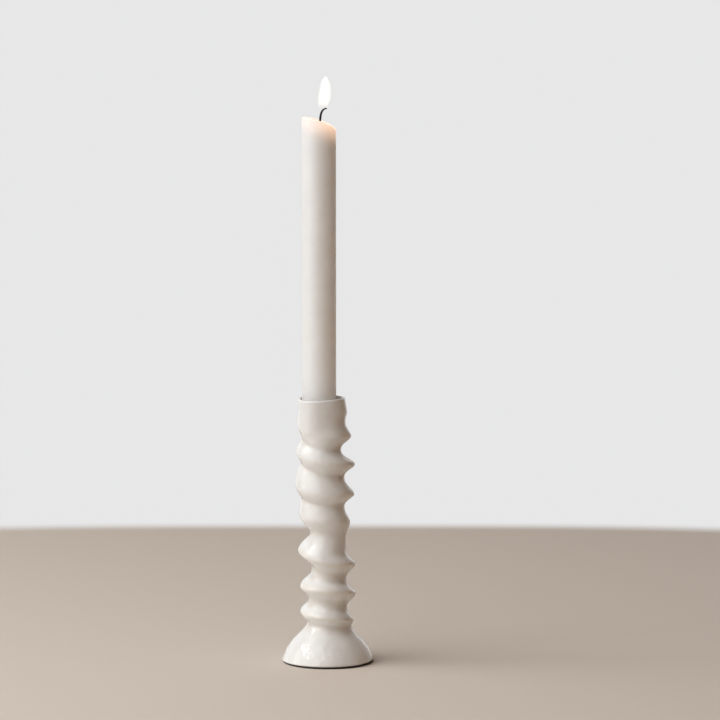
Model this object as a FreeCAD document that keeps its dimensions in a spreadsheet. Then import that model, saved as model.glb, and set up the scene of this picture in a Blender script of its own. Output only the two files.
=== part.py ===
import FreeCAD
import Part
import Sketcher
import math
import os

# Spiral candle holder: one glazed ceramic piece with a twisted stem, a felt pad under its foot,
# and a straight wax candle with its wick standing in the socket.
# Millimetres, Z up, the middle of the resting face at the origin, the viewer on the side of -Y.

doc = FreeCAD.newDocument("spiral_candle_holder")

# Driving sizes in millimetres, and shares of them
sizes = [
    ("holder_height", 172.0),
    ("foot_radius", 30.0),
    ("foot_blend", 2.5),
    ("collar_wall", 4.15),
    ("rim_lean", 4.35),
    ("lip_round", 1.2),
    ("pad_thickness", 1.2),
    ("pad_inset", 1.2),
    ("candle_radius", 11.0),
    ("candle_length", 200.3),
    ("candle_burn_drop", 7.1),
    ("candle_base_gap", 0.3),
    ("socket_clearance", 0.3),
    ("socket_depth", 20.0),
    ("socket_shift", 1.2),
    ("socket_mouth", 1.0),
    ("socket_floor", 10.0),
    ("wick_radius", 0.6),
    ("wick_hole_clearance", 0.05),
    ("wick_base_gap", 2.0),
    ("wick_stand", 4.4),
    ("wick_bend_radius", 4.0),
    ("stem_bore_radius", 4.5),
    ("cut_overrun", 1.0),
]
sheet = doc.addObject("Spreadsheet::Sheet", "sizes")
for row, (alias, value) in enumerate(sizes, start=1):
    sheet.set("A%d" % row, alias)
    sheet.set("B%d" % row, str(value))
    sheet.setAlias("B%d" % row, alias)
doc.recompute()

holder_height = sheet.holder_height
foot_radius = sheet.foot_radius
rim_radius = sheet.candle_radius + sheet.socket_clearance + sheet.collar_wall

# The ridge winds down the stem as a left-hand screw of about seven turns, pressed by hand, so every
# turn is its own size. Each line is one place along the ridge: how many turns down from the rim, the
# height and radius of the crest there, and the height and radius of the groove below it. Heights are
# shares of holder_height and radii shares of rim_radius. Whole turns lie on the side of +X, half
# turns on the side of -X and three-quarter turns at the front.
ridge_shares = [
    (-1.00, 1.105, 1.036, 1.070, 1.010),
    (-0.50, 1.003, 1.010, 0.977, 0.990),
    (-0.25, 0.977, 1.010, 0.948, 0.984),
    (0.00, 0.948, 1.055, 0.916, 0.971),
    (0.50, 0.897, 1.055, 0.848, 0.874),
    (0.75, 0.872, 1.087, 0.806, 0.880),
    (1.00, 0.861, 1.178, 0.808, 0.735),
    (1.50, 0.799, 1.146, 0.757, 0.958),
    (1.75, 0.753, 1.184, 0.698, 0.893),
    (2.00, 0.753, 1.275, 0.704, 0.812),
    (2.50, 0.674, 1.243, 0.628, 0.997),
    (2.75, 0.648, 1.204, 0.598, 0.880),
    (3.00, 0.640, 1.230, 0.591, 0.751),
    (3.50, 0.564, 1.113, 0.492, 0.683),
    (3.75, 0.547, 1.074, 0.491, 0.828),
    (4.00, 0.535, 1.003, 0.462, 0.777),
    (4.50, 0.426, 1.197, 0.366, 0.667),
    (4.75, 0.387, 1.165, 0.334, 0.777),
    (5.00, 0.372, 1.172, 0.317, 0.783),
    (5.50, 0.288, 1.146, 0.245, 0.796),
    (5.75, 0.281, 1.152, 0.230, 0.796),
    (6.00, 0.260, 1.152, 0.206, 0.809),
    (6.50, 0.191, 1.159, 0.149, 0.861),
    (6.75, 0.177, 1.113, 0.134, 0.874),
    (7.00, 0.157, 1.036, 0.126, 0.919),
    (7.50, 0.081, 0.906, 0.047, 0.841),
    (8.00, 0.047, 0.841, 0.012, 0.777),
    (8.50, -0.035, 0.777, -0.070, 0.777),
]

# Outline of the bell foot from the bottom up: height as a share of holder_height, radius as a share
# of foot_radius
foot_shares = [
    (-0.012, 1.000),
    (0.007, 0.997),
    (0.029, 0.953),
    (0.052, 0.887),
    (0.073, 0.787),
    (0.093, 0.667),
    (0.113, 0.553),
    (0.131, 0.473),
    (0.151, 0.383),
    (0.174, 0.267),
    (0.233, 0.067),
]

# How the clay runs between crest and groove: keen crests low down and on the right, keen grooves on
# the left of the upper turns
keen_share = 0.4
low_edge_share = 0.85
high_edge_swing_share = 0.9
swirl_start_share = 0.465
swirl_full_share = 0.581
swirl_turn_share = 0.056
foot_lift_share = 0.0058
foot_lift_height_share = 0.058

# How finely the clay is laid out: points round a section, and sections in the foot, stem and lip
points_round = 16
foot_sections = 5
stem_sections = 62
lip_step_shares = [0.0, 0.7, 1.0]
foot_top_share = 0.12


def ridge_value(turn, column):
    """Crest or groove figure at this many turns down, smooth through the table."""
    rows = ridge_shares
    if turn <= rows[0][0]:
        return rows[0][column]
    if turn >= rows[-1][0]:
        return rows[-1][column]
    index = max(k for k in range(len(rows) - 1) if rows[k][0] <= turn)

    def slope(k):
        if k == 0 or k == len(rows) - 1:
            return 0.0
        before = (rows[k][column] - rows[k - 1][column]) / (rows[k][0] - rows[k - 1][0])
        after = (rows[k + 1][column] - rows[k][column]) / (rows[k + 1][0] - rows[k][0])
        return (before + after) / 2

    span = rows[index + 1][0] - rows[index][0]
    f = (turn - rows[index][0]) / span
    start = rows[index][column]
    end = rows[index + 1][column]
    bend = (f ** 3 - 2 * f ** 2 + f) * slope(index) * span
    bend += (f ** 3 - f ** 2) * slope(index + 1) * span
    return start + (3 * f ** 2 - 2 * f ** 3) * (end - start) + bend


def ridge_marks(angle):
    """Crests and grooves met going down the stem at this angle: height, radius, is it a crest."""
    marks = []
    turn = (angle / (2 * math.pi)) % 1 - 1
    while turn <= ridge_shares[-1][0]:
        marks.append((ridge_value(turn, 1), ridge_value(turn, 2), True))
        marks.append((ridge_value(turn, 3), ridge_value(turn, 4), False))
        turn += 1
    return marks


def rise(share, edge):
    """0 in the groove and 1 on the crest; edge 1 makes a keen crest, edge 0 a keen groove."""
    soft = (1 - math.cos(math.pi * share)) / 2
    keen_crest = 1 - math.cos(math.pi * share / 2)
    keen_groove = math.sin(math.pi * share / 2)
    keen = edge * keen_crest + (1 - edge) * keen_groove
    return (1 - keen_share) * soft + keen_share * keen


def stem_radius(angle, height, marks):
    """Radius of the twisted stem at this share of the height."""
    swirl = (height - swirl_start_share) / (swirl_full_share - swirl_start_share)
    swirl = min(max(swirl, 0.0), 1.0)
    high_edge = (1 + high_edge_swing_share * math.cos(angle + 2 * math.pi * swirl_turn_share)) / 2
    edge = (1 - swirl) * low_edge_share + swirl * high_edge
    for (top, top_radius, top_is_crest), (low, low_radius, _) in zip(marks, marks[1:]):
        if low <= height <= top:
            share = (height - low) / (top - low)
            if top_is_crest:
                return rim_radius * (low_radius + (top_radius - low_radius) * rise(share, edge))
            return rim_radius * (top_radius + (low_radius - top_radius) * rise(1 - share, edge))
    return rim_radius * (marks[0][1] if height > marks[0][0] else marks[-1][1])


def bell_radius(angle, height):
    """Radius of the bell foot at this share of the height; its shoulder sits higher on the left."""
    height += foot_lift_share * math.cos(angle) * min(1.0, height / foot_lift_height_share)
    height = min(max(height, foot_shares[0][0]), foot_shares[-1][0])
    for (low, low_radius), (top, top_radius) in zip(foot_shares, foot_shares[1:]):
        if low <= height <= top:
            share = (height - low) / (top - low)
            return foot_radius * (low_radius + (top_radius - low_radius) * share)
    return foot_radius * foot_shares[-1][1]


def outer_radius(angle, height, marks):
    """Radius of the ceramic about its own leaning centre line, at a height in millimetres."""
    stem = stem_radius(angle, height / holder_height, marks)
    foot = bell_radius(angle, height / holder_height)
    near = max(sheet.foot_blend - abs(stem - foot), 0.0) / sheet.foot_blend
    radius = max(stem, foot) + near ** 2 * sheet.foot_blend / 4
    into_lip = (height - holder_height + sheet.lip_round) / sheet.lip_round
    if into_lip > 0:
        radius -= sheet.lip_round * (1 - math.sqrt(max(1 - into_lip ** 2, 0.0)))
    return radius


def section_heights():
    """Heights of the sections from the foot to the rim."""
    bottom = sheet.pad_thickness
    foot_top = foot_top_share * holder_height
    lip_start = holder_height - sheet.lip_round
    heights = [bottom + (foot_top - bottom) * k / foot_sections for k in range(foot_sections)]
    heights += [foot_top + (lip_start - foot_top) * k / stem_sections for k in range(stem_sections)]
    return heights + [lip_start + sheet.lip_round * share for share in lip_step_shares]


def section(height, angles, marks):
    """Closed smooth outline of the ceramic at one height."""
    lean = -sheet.rim_lean * (height / holder_height) ** 2
    points = []
    for angle, mark in zip(angles, marks):
        radius = outer_radius(angle, height, mark)
        x = lean + radius * math.cos(angle)
        points.append(FreeCAD.Vector(x, radius * math.sin(angle), height))
    curve = Part.BSplineCurve()
    curve.interpolate(points, PeriodicFlag=True)
    return Part.Wire([curve.toShape()])


def holder_skin():
    """Outside of the ceramic, lofted through its sections from the foot to the rim."""
    angles = [2 * math.pi * k / points_round for k in range(points_round)]
    marks = [ridge_marks(angle) for angle in angles]
    sections = [section(height, angles, marks) for height in section_heights()]
    return Part.makeLoft(sections, True, True)


def plane_of(body, role):
    """One of the body's own base planes."""
    return [item for item in body.Origin.OriginFeatures if item.Role == role][0]


def new_body(name):
    body = doc.addObject("PartDesign::Body", name)
    body.Label = name
    return body


def new_sketch(body, name, role):
    sketch = body.newObject("Sketcher::SketchObject", name)
    sketch.AttachmentSupport = [(plane_of(body, role), "")]
    sketch.MapMode = "FlatFace"
    return sketch


def tie(sketch, geometry, end, across, up):
    """Tie one point of a sketch to two expressions, or to an axis where one of them is zero."""
    for text, kind, axis in ((across, "DistanceX", -2), (up, "DistanceY", -1)):
        if text == "0":
            sketch.addConstraint(Sketcher.Constraint("PointOnObject", geometry, end, axis))
        else:
            index = sketch.addConstraint(Sketcher.Constraint(kind, -1, 1, geometry, end, 1.0))
            sketch.setExpression("Constraints[%d]" % index, text)


def outline(body, name, corners):
    """Closed outline in the upright plane through corners given as pairs of expressions."""
    sketch = new_sketch(body, name, "XZ_Plane")
    count = len(corners)
    ring = [2 * math.pi * k / count for k in range(count)]
    points = [FreeCAD.Vector(math.cos(turn), math.sin(turn), 0) for turn in ring]
    for k in range(count):
        sketch.addGeometry(Part.LineSegment(points[k], points[(k + 1) % count]), False)
    for k in range(count):
        sketch.addConstraint(Sketcher.Constraint("Coincident", k, 2, (k + 1) % count, 1))
    for k, (across, up) in enumerate(corners):
        tie(sketch, k, 1, across, up)
    return sketch


def circle(body, name, radius):
    """Circle about the middle of the flat plane with a radius given as an expression."""
    sketch = new_sketch(body, name, "XY_Plane")
    sketch.addGeometry(Part.Circle(FreeCAD.Vector(0, 0, 0), FreeCAD.Vector(0, 0, 1), 1.0), False)
    sketch.addConstraint(Sketcher.Constraint("Coincident", 0, 3, -1, 1))
    index = sketch.addConstraint(Sketcher.Constraint("Radius", 0, 1.0))
    sketch.setExpression("Constraints[%d]" % index, radius)
    return sketch


def turned(body, name, sketch):
    """Full turn of an outline about the upright axis of its body."""
    turn = body.newObject("PartDesign::Revolution", name)
    turn.Profile = sketch
    turn.ReferenceAxis = (sketch, ["V_Axis"])
    turn.Angle = 360.0
    return turn


# Space for the candle: a straight socket with a flared mouth, set to the left of the foot's middle
socket_space = new_body("socket_space")
socket_bottom = "sizes.holder_height - sizes.socket_depth"
socket_wall = "sizes.candle_radius + sizes.socket_clearance"
socket_outline = outline(socket_space, "socket_outline", [
    ("0", socket_bottom),
    (socket_wall, socket_bottom),
    (socket_wall, "sizes.holder_height - sizes.socket_mouth"),
    (socket_wall + " + sizes.socket_mouth + sizes.cut_overrun", "sizes.holder_height + sizes.cut_overrun"),
    ("0", "sizes.holder_height + sizes.cut_overrun"),
])
turned(socket_space, "socket_turn", socket_outline)
candle_place = "-sizes.rim_lean - sizes.socket_shift"
socket_space.setExpression("Placement.Base.x", candle_place)

# Bore up the middle of the stem from below, so that clay this thick dries and fires evenly; the felt
# pad closes it
stem_bore = new_body("stem_bore")
bore_start = "sizes.pad_thickness - sizes.cut_overrun"
bore_end = "sizes.holder_height - sizes.socket_depth - sizes.socket_floor"
bore_outline = outline(stem_bore, "bore_outline", [
    ("0", bore_start),
    ("sizes.stem_bore_radius", bore_start),
    ("sizes.stem_bore_radius", bore_end + " - sizes.stem_bore_radius"),
    ("0", bore_end),
])
turned(stem_bore, "bore_turn", bore_outline)

# The ceramic itself
skin = doc.addObject("Part::Feature", "holder_skin")
skin.Shape = holder_skin()
hollows = doc.addObject("Part::MultiFuse", "hollows")
hollows.Shapes = [socket_space, stem_bore]
holder_body = doc.addObject("Part::Cut", "holder_body")
holder_body.Label = "holder_body"
holder_body.Base = skin
holder_body.Tool = hollows

# Thin dark felt disc under the foot, a little smaller than the foot
base_pad = new_body("base_pad")
pad_circle = circle(base_pad, "pad_circle", "sizes.foot_radius - sizes.pad_inset")
pad_disc = base_pad.newObject("PartDesign::Pad", "pad_disc")
pad_disc.Profile = pad_circle
pad_disc.setExpression("Length", "sizes.pad_thickness")

# The straight candle: a round stick with a hole for its wick, burned down lower on the right
candle = new_body("candle")
candle_bottom = socket_bottom + " + sizes.candle_base_gap"
candle_top = candle_bottom + " + sizes.candle_length"
wick_hole = "sizes.wick_radius + sizes.wick_hole_clearance"
candle_outline = outline(candle, "candle_outline", [
    (wick_hole, candle_bottom),
    ("sizes.candle_radius", candle_bottom),
    ("sizes.candle_radius", candle_top),
    (wick_hole, candle_top),
])
turned(candle, "candle_turn", candle_outline)
burn_side = "sizes.candle_radius + sizes.cut_overrun"
burn_rise = "sizes.candle_burn_drop * sizes.cut_overrun / (2 * sizes.candle_radius)"
burn_outline = outline(candle, "burn_outline", [
    ("-(" + burn_side + ")", candle_top + " + " + burn_rise),
    (burn_side, candle_top + " - sizes.candle_burn_drop - " + burn_rise),
    (burn_side, candle_top + " + sizes.candle_burn_drop"),
    ("-(" + burn_side + ")", candle_top + " + sizes.candle_burn_drop"),
])
burn = candle.newObject("PartDesign::Pocket", "burn")
burn.Profile = burn_outline
burn.setExpression("Length", "2 * (" + burn_side + ")")
burn.SideType = "Symmetric"
candle.setExpression("Placement.Base.x", candle_place)

# The wick runs up through the wax, stands out of it and bends over to the right where it burns
wick = new_body("wick")
wick_bottom = candle_bottom + " + sizes.wick_base_gap"
bend_start = candle_top + " - sizes.candle_burn_drop / 2 + sizes.wick_stand"
wick_circle = circle(wick, "wick_circle", "sizes.wick_radius")
wick_circle.setExpression("AttachmentOffset.Base.z", wick_bottom)
wick_straight = wick.newObject("PartDesign::Pad", "wick_straight")
wick_straight.Profile = wick_circle
wick_straight.setExpression("Length", bend_start + " - (" + wick_bottom + ")")
bend_circle = circle(wick, "bend_circle", "sizes.wick_radius")
bend_circle.setExpression("AttachmentOffset.Base.z", bend_start)
bend_circle.addGeometry(Part.LineSegment(FreeCAD.Vector(1, 0, 0), FreeCAD.Vector(1, 1, 0)), True)
tie(bend_circle, 1, 1, "sizes.wick_bend_radius", "0")
tie(bend_circle, 1, 2, "sizes.wick_bend_radius", "sizes.wick_bend_radius")
wick_bend = wick.newObject("PartDesign::Revolution", "wick_bend")
wick_bend.Profile = bend_circle
wick_bend.ReferenceAxis = (bend_circle, ["Axis0"])
wick_bend.Angle = 90.0
wick.setExpression("Placement.Base.x", candle_place)

doc.recompute()
for item in doc.Objects:
    if "Invalid" in item.State or "Error" in item.State:
        raise RuntimeError("not computed: " + item.Name)

os.makedirs("parts", exist_ok=True)
for piece in (holder_body, base_pad, candle, wick):
    shape = piece.Shape
    if shape.isNull() or not shape.isValid() or len(shape.Solids) != 1:
        raise RuntimeError("bad shape: " + piece.Label)
    shape.exportStep("parts/" + piece.Label + ".step")
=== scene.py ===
import math
import random

import bpy
import numpy as np
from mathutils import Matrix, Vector


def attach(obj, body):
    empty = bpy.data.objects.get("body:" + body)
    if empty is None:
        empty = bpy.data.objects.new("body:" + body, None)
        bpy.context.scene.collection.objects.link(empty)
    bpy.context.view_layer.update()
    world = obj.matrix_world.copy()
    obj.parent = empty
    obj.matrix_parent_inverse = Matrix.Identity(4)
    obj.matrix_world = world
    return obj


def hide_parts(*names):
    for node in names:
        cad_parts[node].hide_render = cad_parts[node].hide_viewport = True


# A spiral candle holder with its candle alight: a twisted stem of cream glazed stoneware on a bell foot,
# a felt pad under it, and a white taper in the socket. Metres, Z up, the viewer on the side of -Y.

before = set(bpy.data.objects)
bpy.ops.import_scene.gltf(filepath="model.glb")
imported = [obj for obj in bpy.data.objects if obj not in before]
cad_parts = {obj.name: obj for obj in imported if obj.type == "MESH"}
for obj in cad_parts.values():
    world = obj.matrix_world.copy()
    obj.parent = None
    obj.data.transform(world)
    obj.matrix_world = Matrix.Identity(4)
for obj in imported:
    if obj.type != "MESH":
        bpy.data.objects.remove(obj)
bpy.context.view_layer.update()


# Felt pad
# A disc of black wool felt, cut a little smaller than the foot and glued under it, so that the glazed
# foot doesn't scratch the table. Only its cut edge shows, as a dark line. The wool lies in all directions.

points_round = 160
turn_angles = 2 * math.pi * np.arange(points_round) / points_round

pad_radius = 0.0291
pad_thickness = 0.0012
pad_edge_round = 0.0003
pad_edge_steps = 4
pad_ring_shares = (0.25, 0.6, 0.9)
# How the cut strays from a true circle: how deep, in how many waves round it, and where they start
pad_cut_waves = [(0.0001, 3, 0.4), (0.00007, 7, 2.0)]
# Size of the fibres and of the matted tufts, in waves a metre, and how deep the fibres lie
fibre_waves = 2600.0
tuft_waves = 300.0
fibre_depth = 0.0002
felt_black = (0.013, 0.012, 0.012, 1.0)
felt_grey = (0.040, 0.037, 0.036, 1.0)


def ring(radius, height, centre_x=0.0):
    """A ring of points about an upright axis; radius and height may differ from point to point."""
    points = np.empty((points_round, 3))
    points[:, 0] = centre_x + radius * np.cos(turn_angles)
    points[:, 1] = radius * np.sin(turn_angles)
    points[:, 2] = height
    return points


def skinned(name, rings, sharp_angle=50.0):
    """A closed mesh through a stack of rings, each end closed at its middle point."""
    count = len(rings[0])
    ends = [rings[0].mean(axis=0)[None], rings[-1].mean(axis=0)[None]]
    points = np.concatenate(list(rings) + ends)
    here = np.arange(count)
    after = (here + 1) % count
    faces = []
    for k in range(len(rings) - 1):
        low = k * count
        high = low + count
        faces += np.stack([low + here, low + after, high + after, high + here], axis=1).tolist()
    bottom_middle = len(rings) * count
    last = bottom_middle - count
    faces += np.stack([np.full(count, bottom_middle), after, here], axis=1).tolist()
    faces += np.stack([np.full(count, bottom_middle + 1), last + here, last + after], axis=1).tolist()
    mesh = bpy.data.meshes.new(name)
    mesh.from_pydata(points.tolist(), [], faces)
    mesh.polygons.foreach_set("use_smooth", [True] * len(mesh.polygons))
    mesh.set_sharp_from_angle(angle=math.radians(sharp_angle))
    mesh.update()
    piece = bpy.data.objects.new(name, mesh)
    bpy.context.scene.collection.objects.link(piece)
    return piece


class Amount:
    """A value from a finish's nodes, so that sums on it can be written as plain maths."""

    def __init__(self, finish, socket):
        self.finish = finish
        self.socket = socket

    def sum_of(self, operation, first, second):
        return self.finish.add("ShaderNodeMath", {"operation": operation}, {0: first, 1: second})

    def __add__(self, other):
        return self.sum_of("ADD", self, other)

    def __radd__(self, other):
        return self.sum_of("ADD", other, self)

    def __sub__(self, other):
        return self.sum_of("SUBTRACT", self, other)

    def __rsub__(self, other):
        return self.sum_of("SUBTRACT", other, self)

    def __mul__(self, other):
        return self.sum_of("MULTIPLY", self, other)

    def __rmul__(self, other):
        return self.sum_of("MULTIPLY", other, self)

    def __pow__(self, other):
        return self.sum_of("POWER", self, other)

    def __rpow__(self, other):
        return self.sum_of("POWER", other, self)


class Finish:
    """The nodes of one finish, in a material or a world."""

    def __init__(self, owner):
        owner.use_nodes = True
        self.owner = owner
        self.nodes = owner.node_tree.nodes
        self.links = owner.node_tree.links
        self.nodes.clear()

    def add(self, kind, settings=None, inputs=None, output=None):
        """Adds one node, sets it, fills or links its sockets and gives back one of its outputs."""
        node = self.nodes.new(kind)
        for key, value in (settings or {}).items():
            setattr(node, key, value)
        for key, value in (inputs or {}).items():
            if isinstance(key, int):
                socket = node.inputs[key]
            else:
                socket = [item for item in node.inputs if item.enabled and item.name == key][0]
            if isinstance(value, Amount):
                self.links.new(value.socket, socket)
            else:
                socket.default_value = value
        outputs = [item for item in node.outputs if item.enabled]
        chosen = [item for item in outputs if item.name == output] if output else outputs
        return Amount(self, chosen[0]) if chosen else None

    def place(self):
        """Where a point of the piece lies, in metres."""
        return self.add("ShaderNodeTexCoord", output="Object")

    def along(self, axis, vector=None):
        """How far a point of the piece, or another vector, reaches along one axis."""
        return self.add("ShaderNodeSeparateXYZ", {}, {"Vector": vector or self.place()}, axis)

    def cloud(self, scale, detail=2.0, roughness=0.5, at=None):
        """Soft noise from 0 to 1; scale is in waves a metre."""
        inputs = {"Vector": at or self.place(), "Scale": scale, "Detail": detail, "Roughness": roughness}
        return self.add("ShaderNodeTexNoise", {"normalize": True}, inputs, "Fac")

    def between(self, amount, low, high):
        """0 below low, 1 above high and smooth in between."""
        settings = {"interpolation_type": "SMOOTHSTEP"}
        inputs = {"Value": amount, "From Min": low, "From Max": high, "To Min": 0.0, "To Max": 1.0}
        return self.add("ShaderNodeMapRange", settings, inputs)

    def blend(self, amount, first, second):
        """One colour going over to another."""
        settings = {"data_type": "RGBA", "clamp_factor": True}
        return self.add("ShaderNodeMix", settings, {"Factor": amount, "A": first, "B": second})

    def bumps(self, height, strength, distance):
        """A bumpy normal; distance is the depth in metres of a height of 1."""
        inputs = {"Strength": strength, "Distance": distance, "Height": height}
        return self.add("ShaderNodeBump", {}, inputs)

    def surface(self, shader):
        """Gives the finished shader to the piece, or to the world round it."""
        is_world = isinstance(self.owner, bpy.types.World)
        kind = "ShaderNodeOutputWorld" if is_world else "ShaderNodeOutputMaterial"
        self.add(kind, {}, {"Surface": shader})


def finish_named(name):
    """An empty finish in a new material."""
    return Finish(bpy.data.materials.new(name))


pad_wobble = sum(depth * np.sin(waves * turn_angles + start) for depth, waves, start in pad_cut_waves)
pad_rings = []
for share in pad_ring_shares:
    pad_rings.append(ring(pad_radius * share, 0.0))
for quarter in np.linspace(0, math.pi / 2, pad_edge_steps):
    inset = pad_edge_round * (1 - math.sin(quarter))
    pad_rings.append(ring(pad_radius + pad_wobble - inset, pad_edge_round * (1 - math.cos(quarter))))
for quarter in np.linspace(math.pi / 2, 0, pad_edge_steps):
    inset = pad_edge_round * (1 - math.sin(quarter))
    height = pad_thickness - pad_edge_round * (1 - math.cos(quarter))
    pad_rings.append(ring(pad_radius + pad_wobble - inset, height))
for share in pad_ring_shares[::-1]:
    pad_rings.append(ring(pad_radius * share, pad_thickness))
felt_pad = skinned("felt_pad", pad_rings)

felt = finish_named("wool_felt")
wool = felt.cloud(fibre_waves, 4.0, 0.7)
tufts = felt.cloud(tuft_waves, 3.0, 0.6)
felt_colour = felt.blend(felt.between(wool * 0.6 + tufts * 0.4, 0.35, 0.7), felt_black, felt_grey)
felt.surface(felt.add("ShaderNodeBsdfPrincipled", {}, {
    "Base Color": felt_colour,
    "Roughness": 0.95,
    "Sheen Weight": 0.08,
    "Sheen Roughness": 0.5,
    "Normal": felt.bumps(wool, 0.8, fibre_depth),
}))
felt_pad.data.materials.append(felt.owner)

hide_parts("base_pad")
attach(felt_pad, "holder")


# Ceramic holder
# One piece of stoneware: a bell foot, a stem with a ridge pressed round it by hand as a left-hand screw,
# and a plain collar with the candle socket. It is dipped in a glossy cream glaze, which runs thin over
# the ridge, while the groove and the socket's mouth get painted shade. A bore up the middle lets the clay
# dry evenly.

holder_height = 0.172
foot_radius = 0.030
foot_blend = 0.0025
rim_radius = 0.01545
rim_lean = 0.00435
lip_round = 0.0012
lip_width = 0.0021
lip_most_share = 0.85
lip_fullness = 0.8
lip_steps = 14
candle_middle_x = -0.00555
socket_radius = 0.0113
socket_depth = 0.020
socket_flare = 0.0006
socket_slope = 0.0032
bore_radius = 0.0045
bore_end = 0.142
bore_tip_share = 0.35
row_step = 0.00042

# Rows of the hidden surfaces: in the bore, under the foot, from the lip to the socket, and in the socket
bore_levels = (0.08, 0.03)
bore_mouth_rise = 0.0004
underside_shares = (0.18, 0.5, 0.85)
flare_shares = (0.35, 0.7, 1.0)
socket_drops = (0.0044, 0.0100)
socket_floor_shares = (0.96, 0.6, 0.2)

# Turns down from the rim, height and radius of the ridge's crest there, and of the groove below it.
# Heights are shares of holder_height and radii shares of rim_radius.
ridge_shares = [
    (-2.00, 1.300, 1.000, 1.250, 0.990),
    (-1.00, 1.105, 1.000, 1.060, 0.966),
    (-0.50, 1.003, 1.010, 0.977, 0.990),
    (-0.25, 0.977, 1.065, 0.948, 1.040),
    (0.00, 0.946, 1.062, 0.910, 0.982),
    (0.50, 0.897, 1.055, 0.848, 0.874),
    (0.75, 0.872, 1.000, 0.812, 0.905),
    (1.00, 0.858, 1.190, 0.806, 0.740),
    (1.50, 0.799, 1.146, 0.762, 0.958),
    (1.75, 0.765, 1.150, 0.716, 0.945),
    (2.00, 0.751, 1.300, 0.704, 0.830),
    (2.50, 0.674, 1.243, 0.628, 0.997),
    (2.75, 0.648, 1.165, 0.603, 0.940),
    (3.00, 0.638, 1.235, 0.591, 0.785),
    (3.50, 0.564, 1.113, 0.492, 0.683),
    (3.75, 0.547, 1.074, 0.491, 0.828),
    (4.00, 0.535, 1.003, 0.462, 0.800),
    (4.50, 0.426, 1.197, 0.376, 0.655),
    (4.75, 0.387, 1.165, 0.334, 0.777),
    (5.00, 0.372, 1.200, 0.317, 0.783),
    (5.50, 0.288, 1.146, 0.245, 0.796),
    (5.75, 0.281, 1.152, 0.230, 0.796),
    (6.00, 0.260, 1.190, 0.206, 0.809),
    (6.50, 0.191, 1.159, 0.149, 0.861),
    (6.75, 0.177, 1.113, 0.134, 0.874),
    (7.00, 0.157, 1.078, 0.126, 0.965),
    (7.50, 0.081, 0.906, 0.047, 0.841),
    (8.00, 0.047, 0.841, 0.012, 0.777),
    (8.50, -0.035, 0.777, -0.070, 0.777),
]

# Outline of the bell foot: shares of holder_height and of foot_radius
foot_shares = [
    (-0.012, 1.000),
    (0.007, 0.997),
    (0.029, 0.953),
    (0.052, 0.887),
    (0.073, 0.800),
    (0.093, 0.700),
    (0.113, 0.575),
    (0.131, 0.490),
    (0.151, 0.400),
    (0.174, 0.267),
    (0.233, 0.067),
]

foot_lift_share = 0.0015
foot_lift_height_share = 0.058

# How hollow the ridge is under its crest and over it, and how much more so at the stem's long waist
under_power = 1.1
top_power = 1.45
waist_power = 1.1
waist_power_change = 0.3
waist_share = 0.375
waist_slope = 0.045
waist_reach = 0.05

# The crease on the left of the upper turns: how sharp, and the heights where it comes and goes
crease_share = 0.9
crease_least = 0.15
swirl_start_share = 0.46
swirl_full_share = 0.60
swirl_last_share = 0.80
swirl_gone_share = 0.92

# The flat place in the collar's front: its depth, where it starts, and its raised and sunk sides in degrees
press_depth = 0.00062
press_start = 0.1480
press_fade = 0.006
press_raised, press_raised_reach = 241.0, 23.0
press_sunk, press_sunk_reach = 287.0, 26.0

# How far corners are rounded off, in rows up the wall or in points round it
corner_rows = 1.3
corner_points = 1.2
foot_rows = 3.5

# How far the hand-cut rim rises or dips round the collar, from +X towards the back, in metres
rim_dips = [0.0001, 0.0003, 0.0002, -0.0001, -0.0003, -0.0006, -0.0005, 0.0003]
rim_dip_points = 5.0
rim_dip_start = 0.014
rim_dip_span = 0.012

# The rounded hem of the foot: its radius, how that changes round the foot, and the steps up it
hem_radius = 0.00125
hem_radius_change = 0.00080
hem_turn = 0.3
hem_steps = [0.0, 0.00004, 0.00012, 0.00024, 0.0004, 0.0006, 0.0009, 0.0013, 0.0017, 0.0021]

# Where the glaze runs thin and where hollows get painted shade: rows over which a hollow counts, and its
# depth for full shade
hollow_rows = 9.0
unit_hollow_depth = 0.0016
lip_thinning = 0.8
# How hollow the socket's mouth counts as, for its painted shade
socket_mouth_shade = 0.5

# What the dipping leaves in the glaze, in waves a metre, and how deep its waves are
drift_waves = 55.0
mottle_waves = 320.0
smear_waves = 130.0
run_waves = 150.0
run_stretch = (1.0, 1.0, 0.35)
ripple_waves = 270.0
ripple_depth = 0.0010
run_share = 0.6
glaze_cream = (0.870, 0.862, 0.842, 1.0)
glaze_run = (0.800, 0.780, 0.745, 1.0)
# Painted shade for the grooves and the socket's mouth, also the tone of the random drift
drift_and_shade_beige = (0.720, 0.680, 0.620, 1.0)
glaze_thin = (0.850, 0.815, 0.755, 1.0)


def ridge_figure(turn, column):
    """Crest or groove figure at this many turns down, smooth through the table."""
    rows = ridge_shares
    if turn <= rows[0][0]:
        return rows[0][column]
    if turn >= rows[-1][0]:
        return rows[-1][column]
    index = max(k for k in range(len(rows) - 1) if rows[k][0] <= turn)

    def slope(k):
        if k == 0 or k == len(rows) - 1:
            return 0.0
        before = (rows[k][column] - rows[k - 1][column]) / (rows[k][0] - rows[k - 1][0])
        after = (rows[k + 1][column] - rows[k][column]) / (rows[k + 1][0] - rows[k][0])
        return (before + after) / 2

    span = rows[index + 1][0] - rows[index][0]
    f = (turn - rows[index][0]) / span
    start = rows[index][column]
    end = rows[index + 1][column]
    bend = (f ** 3 - 2 * f ** 2 + f) * slope(index) * span
    bend += (f ** 3 - f ** 2) * slope(index + 1) * span
    return start + (3 * f ** 2 - 2 * f ** 3) * (end - start) + bend


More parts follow.
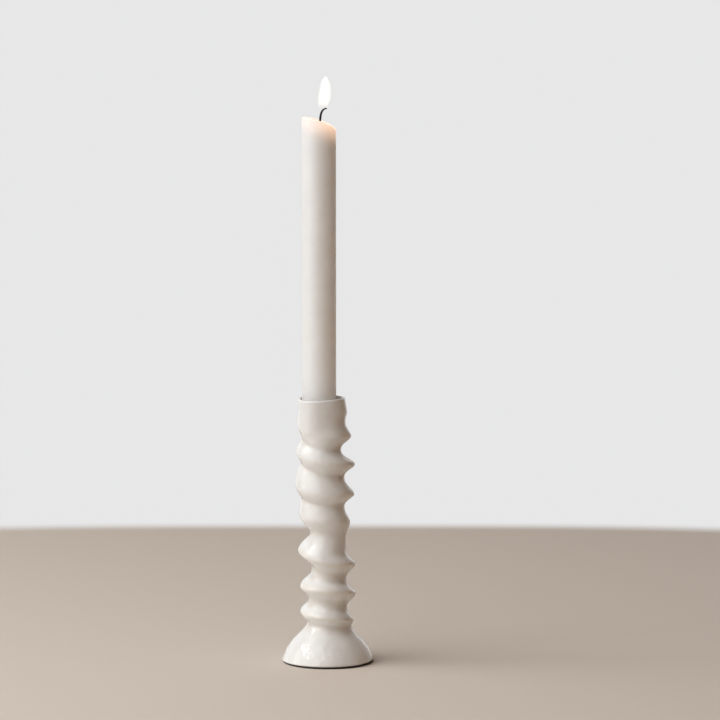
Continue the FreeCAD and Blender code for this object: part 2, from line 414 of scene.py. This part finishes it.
def stem_radii(angle, heights):
    """Radius of the twisted stem at these heights, on one side of it."""
    marks = []
    turn = (angle / (2 * math.pi)) % 1 - 2
    while turn <= ridge_shares[-1][0]:
        marks.append((ridge_figure(turn, 1), ridge_figure(turn, 2)))
        marks.append((ridge_figure(turn, 3), ridge_figure(turn, 4)))
        turn += 1
    levels, radii = np.array(marks[::-1]).T
    shares = heights / holder_height
    below = np.clip(np.searchsorted(levels, shares) - 1, 0, len(levels) - 2)
    way = np.clip((shares - levels[below]) / (levels[below + 1] - levels[below]), 0, 1)
    up_to_crest = below % 2 == 0
    way = np.where(up_to_crest, way, 1 - way)
    groove = np.where(up_to_crest, radii[below], radii[below + 1])
    crest = np.where(up_to_crest, radii[below + 1], radii[below])
    waist = waist_share + waist_slope * math.cos(angle)
    waist_hollow = waist_power * (1 + waist_power_change * math.cos(angle))
    hollow = top_power + waist_hollow * np.exp(-((shares - waist) / waist_reach) ** 2)
    nose = (1 - np.cos(math.pi * way ** np.where(up_to_crest, under_power, hollow))) / 2
    swirl = np.clip((shares - swirl_start_share) / (swirl_full_share - swirl_start_share), 0, 1)
    fading = (swirl_gone_share - shares) / (swirl_gone_share - swirl_last_share)
    left_share = math.sqrt((1 - math.cos(angle)) / 2)
    crease = crease_share * swirl * np.clip(fading, crease_least, 1) * left_share
    rise = (1 - crease) * nose + crease * np.sin(math.pi * way / 2)
    return rim_radius * (groove + (crest - groove) * rise)


def bell_radii(angle, heights):
    """Radius of the bell foot at these heights; its shoulder sits higher on the left."""
    shares = heights / holder_height
    shares = shares + foot_lift_share * math.cos(angle) * np.minimum(1.0, shares / foot_lift_height_share)
    levels, radii = np.array(foot_shares).T
    return foot_radius * np.interp(shares, levels, radii)


def collar_press(angle, heights):
    """A flat place that the hand pressed into the front of the collar, with a soft corner left of it."""
    turned = math.degrees(angle)
    raised = math.exp(-((turned - press_raised) / press_raised_reach) ** 2)
    sunk = math.exp(-((turned - press_sunk) / press_sunk_reach) ** 2)
    return press_depth * (raised - sunk) * np.clip((heights - press_start) / press_fade, 0, 1)


def softened(grid, spread, axis):
    """The grid with its corners rounded off over this many rows (axis 1) or points round (axis 0)."""
    reach = int(3 * spread) + 1
    margin = [(0, 0), (0, 0)]
    margin[axis] = (reach, reach)
    if axis == 0:
        wide = np.pad(grid, margin, mode="wrap")
    else:
        wide = np.pad(grid, margin, mode="reflect", reflect_type="odd")
    result = np.zeros_like(grid)
    total = 0.0
    for k in range(2 * reach + 1):
        weight = math.exp(-((k - reach) / spread) ** 2 / 2)
        part = wide[k:k + grid.shape[0]] if axis == 0 else wide[:, k:k + grid.shape[1]]
        result += weight * part
        total += weight
    return result / total


def hand_marks(heights, count, size, lobes, pitches, seed):
    """Slow unevenness left by the hands, in metres, for every angle and height."""
    luck = random.Random(seed)
    marks = np.zeros((points_round, len(heights)))
    for _ in range(count):
        across = luck.randint(*lobes) * turn_angles[:, None]
        along = 2 * math.pi * heights[None, :] / luck.uniform(*pitches)
        side = luck.choice((-1, 1))
        marks += luck.uniform(0.3, 1.0) * np.sin(across + side * along + luck.uniform(0, 6.28))
    return size * marks / math.sqrt(count)


wall_heights = np.arange(pad_thickness, holder_height - lip_round / 2, row_step)
stem_grid = np.array([stem_radii(angle, wall_heights) for angle in turn_angles])
stem_grid = softened(softened(stem_grid, corner_rows, 1), corner_points, 0)
bell_grid = np.array([bell_radii(angle, wall_heights) for angle in turn_angles])
bell_grid = softened(bell_grid, foot_rows, 1)
nearness = np.maximum(foot_blend - np.abs(stem_grid - bell_grid), 0.0) / foot_blend
wall_grid = np.maximum(stem_grid, bell_grid) + nearness ** 2 * foot_blend / 4
wall_grid += np.array([collar_press(angle, wall_heights) for angle in turn_angles])
wall_grid += hand_marks(wall_heights, count=16, size=0.00013, lobes=(1, 3), pitches=(0.014, 0.045), seed=4)
wall_grid += hand_marks(wall_heights, count=24, size=0.00005, lobes=(3, 9), pitches=(0.006, 0.015), seed=9)
# How hollow the wall is at each point: crests get the thin glaze tint, hollows get painted shade
wall_thin_and_shade = (softened(wall_grid, hollow_rows, 1) - wall_grid) / unit_hollow_depth


def lean_at(height):
    """The stem's middle leans over to the left as it rises."""
    return -rim_lean * (height / holder_height) ** 2


def rim_shift(height):
    """How far a point near the rim moves with the rim's dips."""
    places = turn_angles / (2 * math.pi) * len(rim_dips)
    dips = np.interp(places, range(len(rim_dips) + 1), rim_dips + rim_dips[:1])
    dips = softened(dips[:, None], rim_dip_points, 0)[:, 0]
    return dips * np.clip((height - holder_height + rim_dip_start) / rim_dip_span, 0, 1) ** 2


hem_round = hem_radius + hem_radius_change * np.cos(turn_angles + hem_turn)
hem_heights = pad_thickness + np.array(hem_steps)
row_heights = np.concatenate([hem_heights, wall_heights[wall_heights > hem_heights[-1] + row_step / 2]])
row_heights = row_heights[row_heights < holder_height - lip_round]
row_heights = np.append(row_heights, holder_height - lip_round)
holder_rings = []
ring_thin_and_shade = []


def holder_ring(radius, height, centre_x=0.0):
    """A plain ring of the holder's hidden surfaces, with neither thin glaze nor painted shade."""
    holder_rings.append(ring(radius, height, centre_x))
    ring_thin_and_shade.append(np.zeros(points_round))


# Down the bore from its tip, across the underside, up the wall, over the lip and down into the socket
holder_ring(bore_radius * bore_tip_share, bore_end - bore_radius * bore_tip_share)
for height in (bore_end - bore_radius, *bore_levels, pad_thickness + bore_mouth_rise):
    holder_ring(bore_radius, height)
for share in underside_shares:
    holder_ring(foot_radius * share, pad_thickness)
for height in row_heights:
    radius = np.array([np.interp(height, wall_heights, row) for row in wall_grid])
    above_hem = np.clip((hem_round - (height - pad_thickness)) / hem_round, 0, 1)
    radius -= hem_round * (1 - np.sqrt(1 - above_hem ** 2))
    holder_rings.append(ring(radius, height + rim_shift(height), lean_at(height)))
    ring_thin_and_shade.append(np.array([np.interp(height, wall_heights, row) for row in wall_thin_and_shade]))
collar_edge = holder_rings[-1].copy()
socket_edge = ring(socket_radius + socket_flare, holder_height - socket_slope, candle_middle_x)
wall_width = np.linalg.norm((collar_edge - socket_edge)[:, :2], axis=1)
lip_share = np.minimum(lip_width / wall_width, lip_most_share)[:, None]
lip_edge = collar_edge * (1 - lip_share) + socket_edge * lip_share
for half in np.linspace(0, math.pi, lip_steps)[1:]:
    across = (1 - math.cos(half)) / 2
    lip = collar_edge * (1 - across) + lip_edge * across
    rise = lip_round * math.sin(half) ** lip_fullness
    lip[:, 2] = holder_height - lip_round + rise + rim_shift(holder_height)
    holder_rings.append(lip)
    ring_thin_and_shade.append(np.full(points_round, -lip_thinning * math.sin(half)))
for share in flare_shares:
    holder_rings.append(holder_rings[-1] * (1 - share) + socket_edge * share)
    ring_thin_and_shade.append(np.full(points_round, socket_mouth_shade))
for drop in (*socket_drops, socket_depth):
    holder_ring(socket_radius, holder_height - drop, candle_middle_x)
for share in socket_floor_shares:
    holder_ring(socket_radius * share, holder_height - socket_depth, candle_middle_x)
ceramic = skinned("ceramic_holder", holder_rings, sharp_angle=60.0)
end_points = np.zeros(2)
thin_glaze_and_shade = ceramic.data.attributes.new("thin_glaze_and_shade", "FLOAT", "POINT")
thin_glaze_and_shade.data.foreach_set("value", np.concatenate(ring_thin_and_shade + [end_points]))

glaze = finish_named("cream_glaze")
depth = glaze.add("ShaderNodeAttribute", {"attribute_name": "thin_glaze_and_shade"}, output="Fac")
drift = glaze.cloud(drift_waves, 3.0, 0.55)
mottle = glaze.cloud(mottle_waves, 3.0, 0.6)
smear = glaze.cloud(smear_waves, 2.0, 0.45)
stretching = {0: glaze.place(), 1: run_stretch}
drawn_down = glaze.add("ShaderNodeVectorMath", {"operation": "MULTIPLY"}, stretching)
runs = glaze.cloud(run_waves, 3.0, 0.6, drawn_down)
ripple = glaze.cloud(ripple_waves, 1.0, 0.4)
# Darker beige where the drift wanders at random, and painted shade in the hollows
glaze_colour = glaze.blend(glaze.between(depth + drift * 0.8, 0.45, 1.5), glaze_cream, drift_and_shade_beige)
glaze_colour = glaze.blend(glaze.between(mottle - depth * 0.9, 0.75, 1.55), glaze_colour, glaze_thin)
glaze_colour = glaze.blend(glaze.between(runs, 0.40, 0.75) * run_share, glaze_colour, glaze_run)
glaze.surface(glaze.add("ShaderNodeBsdfPrincipled", {}, {
    "Base Color": glaze_colour,
    "Roughness": 0.015 + drift * 0.04,
    "IOR": 1.5,
    "Normal": glaze.bumps(smear * 0.80 + ripple * 0.28, 0.55, ripple_depth),
}))
ceramic.data.materials.append(glaze.owner)

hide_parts("holder_body")
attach(ceramic, "holder")


# Candle
# A straight white household candle, 22 mm across, pressed from stearin wax. It has burned down further on
# the right, where its edge has melted round, with a shallow wet hollow about the wick. The wax lets light
# through, and its top carries a painted glow, stronger on the right, where the flame stands over it.

candle_radius = 0.011
candle_bottom = 0.1523
candle_top_middle = 0.34905
candle_slope = -0.0071 / 0.022
candle_crown = 0.0016
candle_edge_round = 0.0011
candle_edge_steps = 7
candle_pool_depth = 0.0010
candle_pool_share = 0.78
candle_rows = 90
candle_base_shares = (0.3, 0.9)
candle_top_shares = np.linspace(0.86, 0.04, 16)
# The wax stands back this far from the full radius, and swells and shrinks by this much in slow waves
wax_inset = 0.00004
wax_swell = 0.00001
# Heights at X = 0 where the painted glow and the melted skin start and are full, and how far these tilt
# along X
glow_start, glow_full, glow_tilt = 0.3300, 0.3500, 0.3
melt_start, melt_full, melt_tilt = 0.3440, 0.3470, 0.32
# From the left to the right side of the wax, the painted glow grows from its least share to the whole
glow_left, glow_right = -0.0155, 0.0045
glow_least, glow_gain = 0.45, 0.55
glow_power = 1.7
glow_strength = 0.74
# Cloudy bloom and fine grain of the wax, in waves a metre, and how deep they lie
bloom_waves = 70.0
grain_waves = 900.0
grain_depth = 0.0004
wax_white = (0.870, 0.865, 0.850, 1.0)
wax_shade = (0.840, 0.832, 0.810, 1.0)
# Colour of the painted glow that stands in for the flame's light in the wax
painted_glow_colour = (1.0, 0.60, 0.38, 1.0)


def burned_top(x, y):
    """Height of the candle's burned top over a point of it."""
    across = (x - candle_middle_x) / candle_radius
    out = np.sqrt((x - candle_middle_x) ** 2 + y ** 2) / candle_radius
    level = candle_top_middle + candle_slope * (x - candle_middle_x) + candle_crown * (1 - across ** 2)
    hollow = np.clip(1 - (out / candle_pool_share) ** 2, 0, 1) ** 2
    return level - candle_pool_depth * hollow


edge_x = candle_middle_x + candle_radius * np.cos(turn_angles)
edge_y = candle_radius * np.sin(turn_angles)
edge_top = burned_top(edge_x, edge_y)
candle_rings = [ring(candle_radius * share, candle_bottom, candle_middle_x) for share in candle_base_shares]
wax_luck = random.Random(3)
wax_waves = []
for _ in range(8):
    wax_waves.append((wax_luck.randint(1, 4), wax_luck.uniform(0.05, 0.16), wax_luck.uniform(0, 6.28)))
for k in range(candle_rows + 1):
    height = candle_bottom + (edge_top - candle_edge_round - candle_bottom) * k / candle_rows
    wave = 0.0
    for lobes, pitch, start in wax_waves:
        wave = wave + np.sin(lobes * turn_angles + 2 * math.pi * height / pitch + start)
    candle_rings.append(ring(candle_radius - wax_inset + wax_swell * wave, height, candle_middle_x))
for quarter in np.linspace(0, math.pi / 2, candle_edge_steps)[1:]:
    inset = candle_edge_round * (1 - math.cos(quarter))
    height = edge_top - candle_edge_round * (1 - math.sin(quarter))
    candle_rings.append(ring(candle_radius - wax_inset - inset, height, candle_middle_x))
for share in candle_top_shares:
    inner = ring(candle_radius * share, 0.0, candle_middle_x)
    inner[:, 2] = burned_top(inner[:, 0], inner[:, 1])
    candle_rings.append(inner)
candle = skinned("white_candle", candle_rings, sharp_angle=60.0)

wax = finish_named("stearin_wax")
wax_level = wax.along("Z")
wax_side = wax.along("X")
bloom = wax.cloud(bloom_waves, 4.0, 0.6)
grain = wax.cloud(grain_waves, 3.0, 0.6)
# Painted light: warm emission on the wax top, strongest near the flame and on the right side
near_flame = wax.between(wax_level + wax_side * glow_tilt, glow_start, glow_full)
low_side = wax.between(wax_side, glow_left, glow_right)
glow = near_flame ** glow_power * (glow_least + low_side * glow_gain)
wet = wax.between(wax_level + wax_side * melt_tilt, melt_start, melt_full)
wax_colour = wax.blend(wax.between(bloom, 0.35, 0.75), wax_white, wax_shade)
wax.surface(wax.add("ShaderNodeBsdfPrincipled", {}, {
    "Base Color": wax_colour,
    "Roughness": 0.42 + grain * 0.10 - wet * 0.30,
    "Subsurface Weight": 1.0,
    "Subsurface Radius": (1.0, 0.95, 0.88),
    "Subsurface Scale": 0.03,
    "Emission Color": wax.blend(glow, (0.0, 0.0, 0.0, 1.0), painted_glow_colour),
    "Emission Strength": glow_strength,
    "Normal": wax.bumps(bloom * 0.7 + grain * 0.3, 0.15, grain_depth),
}))
candle.data.materials.append(wax.owner)

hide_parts("candle")
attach(candle, "taper")


# Wick
# Braided cotton that runs up through the wax. What stands out of it is burned black, thins towards its
# end and curls over to the right, into the edge of the flame.

wick_path = [
    (-0.0052, 0.3430),
    (-0.0050, 0.3470),
    (-0.0048, 0.3505),
    (-0.0044, 0.3545),
    (-0.0033, 0.3569),
    (-0.0019, 0.3578),
    (-0.0004, 0.3582),
]
wick_radius = 0.00070
wick_tip_share = 0.55
wick_strands = 3
wick_twist = 2400.0
wick_lumps = 0.14
wick_steps = 70
wick_end_start = 0.96
wick_bend_softness = 2.2
cotton_waves = 5200.0
cotton_depth = 0.0001
char_black = (0.005, 0.004, 0.004, 1.0)
char_ash = (0.022, 0.018, 0.017, 1.0)


def along_path(path, steps):
    """Points spaced along a smooth line through a path in the upright plane, and its directions."""
    knots = np.array(path)
    at = np.arange(len(knots))
    fine = np.linspace(0, len(knots) - 1, steps)
    points = np.stack([np.interp(fine, at, knots[:, 0]), np.interp(fine, at, knots[:, 1])], axis=1)
    points = softened(points.T, steps / len(knots) / wick_bend_softness, 1).T
    ways = np.gradient(points, axis=0)
    return points, ways / np.linalg.norm(ways, axis=1)[:, None]


wick_points, wick_ways = along_path(wick_path, wick_steps)
wick_rings = []
around = turn_angles[::8]
run = 0.0
for k, ((x, z), (way_x, way_z)) in enumerate(zip(wick_points, wick_ways)):
    if k:
        run += math.hypot(*(wick_points[k] - wick_points[k - 1]))
    share = k / (len(wick_points) - 1)
    size = wick_radius * (1 - (1 - wick_tip_share) * share ** 2)
    lumps = 1 + wick_lumps * np.abs(np.sin(wick_strands * (around - wick_twist * run / 2)))
    past_start = max((share - wick_end_start) / (1 - wick_end_start), 0.0)
    end = math.sqrt(max(1 - past_start ** 2, 0.02))
    points = np.empty((len(around), 3))
    points[:, 0] = x + size * lumps * end * np.cos(around) * way_z
    points[:, 1] = size * lumps * end * np.sin(around)
    points[:, 2] = z - size * lumps * end * np.cos(around) * way_x
    wick_rings.append(points)
wick = skinned("burned_wick", wick_rings, sharp_angle=80.0)

char = finish_named("charred_cotton")
fibres = char.cloud(cotton_waves, 3.0, 0.7)
char.surface(char.add("ShaderNodeBsdfPrincipled", {}, {
    "Base Color": char.blend(char.between(fibres, 0.5, 0.8), char_black, char_ash),
    "Roughness": 0.75 + fibres * 0.2,
    "Normal": char.bumps(fibres, 0.6, cotton_depth),
}))
wick.data.materials.append(char.owner)

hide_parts("wick")
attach(wick, "taper")


# Flame
# A still candle flame: white and almost solid in its upper part, clear round the wick, with a thin paler
# veil outside. It is light and hot gas, not a solid, and stands a little right of the wick.

# Height, distance of the flame's middle along X, and half its width there
flame_shape = [
    (0.3558, -0.0037, 0.0005),
    (0.3568, -0.0036, 0.0024),
    (0.3584, -0.0032, 0.0034),
    (0.3610, -0.0027, 0.0038),
    (0.3640, -0.0022, 0.0040),
    (0.3674, -0.0018, 0.0039),
    (0.3708, -0.0015, 0.0036),
    (0.3738, -0.0015, 0.0030),
    (0.3760, -0.0015, 0.0022),
    (0.3776, -0.0014, 0.0012),
    (0.3785, -0.0014, 0.0003),
]
flame_depth_share = 0.9
flame_rows = 60
flame_soft_rows = 2.6
flame_thinnest = 0.00012
flame_body_share = 0.84
flame_veil_share = 1.08
flame_clear = (0.84, 0.77, 0.72, 1.0)
flame_white = (1.0, 0.985, 0.93, 1.0)


def flame_rings(widening):
    """Rings up the flame, this many times as wide as its table says."""
    at = np.arange(len(flame_shape))
    fine = np.linspace(0, len(flame_shape) - 1, flame_rows)
    table = np.stack([np.interp(fine, at, column) for column in np.array(flame_shape).T])
    table = softened(table, flame_soft_rows, 1)
    around = turn_angles[::4]
    rings = []
    for level, middle, half in table.T:
        size = max(half, flame_thinnest) * widening
        points = np.empty((len(around), 3))
        points[:, 0] = middle + size * np.cos(around)
        points[:, 1] = flame_depth_share * size * np.sin(around)
        points[:, 2] = level
        rings.append(points)
    return rings


def fire_finish(name, clear_height, white_height, strength, thinnest, gain):
    """Light without a surface: clear at the lower height, and white and thicker from the upper one."""
    fire = finish_named(name)
    heat = fire.between(fire.along("Z"), clear_height, white_height)
    fire.surface(fire.add("ShaderNodeBsdfPrincipled", {}, {
        "Base Color": (0.0, 0.0, 0.0, 1.0),
        "Roughness": 1.0,
        "Specular IOR Level": 0.0,
        "Emission Color": fire.blend(heat, flame_clear, flame_white),
        "Emission Strength": strength,
        "Alpha": thinnest + heat * gain,
    }))
    return fire.owner


body_finish = fire_finish(
    "candle_fire", clear_height=0.3575, white_height=0.3635, strength=1.15, thinnest=0.02, gain=0.96
)
veil_finish = fire_finish(
    "flame_veil", clear_height=0.3585, white_height=0.3650, strength=1.0, thinnest=0.0, gain=0.30
)
flame = skinned("flame", flame_rings(flame_body_share), sharp_angle=80.0)
flame.data.materials.append(body_finish)
flame_veil = skinned("flame_veil", flame_rings(flame_veil_share), sharp_angle=80.0)
flame_veil.data.materials.append(veil_finish)
for piece in (flame, flame_veil):
    piece.visible_shadow = False
    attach(piece, "taper")


# Table top, backdrop and light
# A plain pale table top with rounded corners, which goes over softly into a near-white backdrop. A wide
# lamp on the upper left lights it, with five brighter strips that the glaze mirrors. A far lamp behind, on
# the right, draws a thin bright line down the holder's edge. The rest is dim, and warm on the right.

table_reach = 0.578
table_squareness = 3.5
table_fade_start, table_fade_end = 0.965, 1.05
table_size = 30.0
table_beige = (0.770, 0.680, 0.595, 1.0)
backdrop_white = (0.800, 0.800, 0.805, 1.0)
surround_left = (0.080, 0.062, 0.046, 1.0)
surround_back_share = 0.28
surround_above = (0.110, 0.085, 0.065, 1.0)
surround_right = (0.152, 0.072, 0.022, 1.0)
lamp_aim = 0.15
lamp_distance = 1.7
wide_lamp_size = 2.7
wide_lamp_side = 62.0
wide_lamp_rise = 34.0
wide_lamp_power = 40.0
lamp_tint = (0.975, 0.990, 1.000)
strip_side = 72.0
strip_rise = 41.0
strip_glow = 25.0
# How far each strip stands to the side of the row's middle, its width and its height
bright_strips = [
    (-0.58, 0.07, 0.42),
    (-0.30, 0.15, 0.50),
    (-0.06, 0.06, 0.38),
    (0.20, 0.12, 0.46),
    (0.50, 0.06, 0.40),
]
gleam_width = 0.33
gleam_height = 1.3
gleam_side = -157.0
gleam_rise = 12.0
gleam_power = 0.9


def surround_light(finish, way):
    """The backdrop, for the camera and where the glaze mirrors it, and the dim light from all round."""
    side = finish.along("X", way)
    back = finish.along("Y", way)
    over = finish.along("Z", way)
    camera_ray = finish.add("ShaderNodeLightPath", output="Is Camera Ray")
    glossy_ray = finish.add("ShaderNodeLightPath", output="Is Glossy Ray")
    clear_ray = finish.add("ShaderNodeLightPath", output="Is Transmission Ray")
    tone = finish.blend(finish.between(side, -0.7, 0.7), surround_left, surround_right)
    tone = finish.blend(finish.between(over, 0.35, 0.95), tone, surround_above)
    tone = finish.blend(finish.between(back, 0.0, 0.9) * surround_back_share, tone, backdrop_white)
    mirrored = glossy_ray * finish.between(back, 0.55, 0.65)
    return finish.blend(camera_ray + clear_ray + mirrored, tone, backdrop_white)


scene = bpy.context.scene
scene.world = bpy.data.worlds.new("surround")
surround = Finish(scene.world)
surround_way = surround.add("ShaderNodeTexCoord", output="Generated")
surround_colour = surround_light(surround, surround_way)
surround.surface(surround.add("ShaderNodeBackground", {}, {"Color": surround_colour, "Strength": 1.0}))

floor_mesh = bpy.data.meshes.new("table_top")
floor_corners = [(x * table_size, y * table_size, 0) for x, y in ((-1, -1), (1, -1), (1, 1), (-1, 1))]
floor_mesh.from_pydata(floor_corners, [], [(0, 1, 2, 3)])
floor = bpy.data.objects.new("table_top", floor_mesh)
scene.collection.objects.link(floor)
table = finish_named("pale_table")
spans = []
for axis in ("X", "Y"):
    span = table.along(axis) * (1 / table_reach)
    spans.append(table.add("ShaderNodeMath", {"operation": "ABSOLUTE"}, {0: span}) ** table_squareness)
from_middle = (spans[0] + spans[1]) ** (1 / table_squareness)
beyond = table.between(from_middle, table_fade_start, table_fade_end)
table_skin = table.add("ShaderNodeBsdfPrincipled", {}, {"Base Color": table_beige, "Roughness": 0.7})
far_way = table.add("ShaderNodeVectorMath", {"operation": "NORMALIZE"}, {0: table.place()}, "Vector")
far = table.add("ShaderNodeEmission", {}, {"Color": surround_light(table, far_way), "Strength": 1.0})
table.surface(table.add("ShaderNodeMixShader", {}, {0: beyond, 1: table_skin, 2: far}))
floor_mesh.materials.append(table.owner)


def soft_lamp(name, width, height, power, side, rise, shift):
    """A soft rectangle of light that faces the holder from this side and height."""
    light = bpy.data.lights.new(name, "AREA")
    light.shape = "RECTANGLE"
    light.size = width
    light.size_y = height
    light.energy = power
    light.color = lamp_tint
    lamp = bpy.data.objects.new(name, light)
    scene.collection.objects.link(lamp)
    side, rise = math.radians(side), math.radians(rise)
    way = Vector((-math.sin(side) * math.cos(rise), -math.cos(side) * math.cos(rise), math.sin(rise)))
    across = Vector((math.cos(side), -math.sin(side), 0))
    lamp.location = Vector((0, 0, lamp_aim)) + way * lamp_distance + across * shift
    lamp.rotation_mode = "QUATERNION"
    lamp.rotation_quaternion = way.to_track_quat("Z", "Y")
    lamp.visible_camera = False
    return lamp


soft_lamp("wide_lamp", wide_lamp_size, wide_lamp_size, wide_lamp_power, wide_lamp_side, wide_lamp_rise, 0.0)
for shift, width, height in bright_strips:
    soft_lamp("strip_lamp", width, height, strip_glow * width * height, strip_side, strip_rise, shift)
gleam = soft_lamp("far_lamp", gleam_width, gleam_height, gleam_power, gleam_side, gleam_rise, 0.0)
gleam.visible_diffuse = False


# Camera
# It stands where the photo was taken from: 2.5 m in front of the holder and a little above it, and a
# little to the right of it, with a long lens, looking straight ahead and slightly down.

camera_lens = 195.5
camera_place = (0.0207, -2.5, 0.468)
camera_tilt_down = 6.2

camera = bpy.data.cameras.new("camera")
camera.sensor_width = 36.0
camera.lens = camera_lens
camera.clip_end = 200.0
camera_object = bpy.data.objects.new("camera", camera)
scene.collection.objects.link(camera_object)
camera_object.location = camera_place
camera_object.rotation_euler = (math.radians(90 - camera_tilt_down), 0, 0)
scene.camera = camera_object
scene.view_settings.view_transform = "Standard"
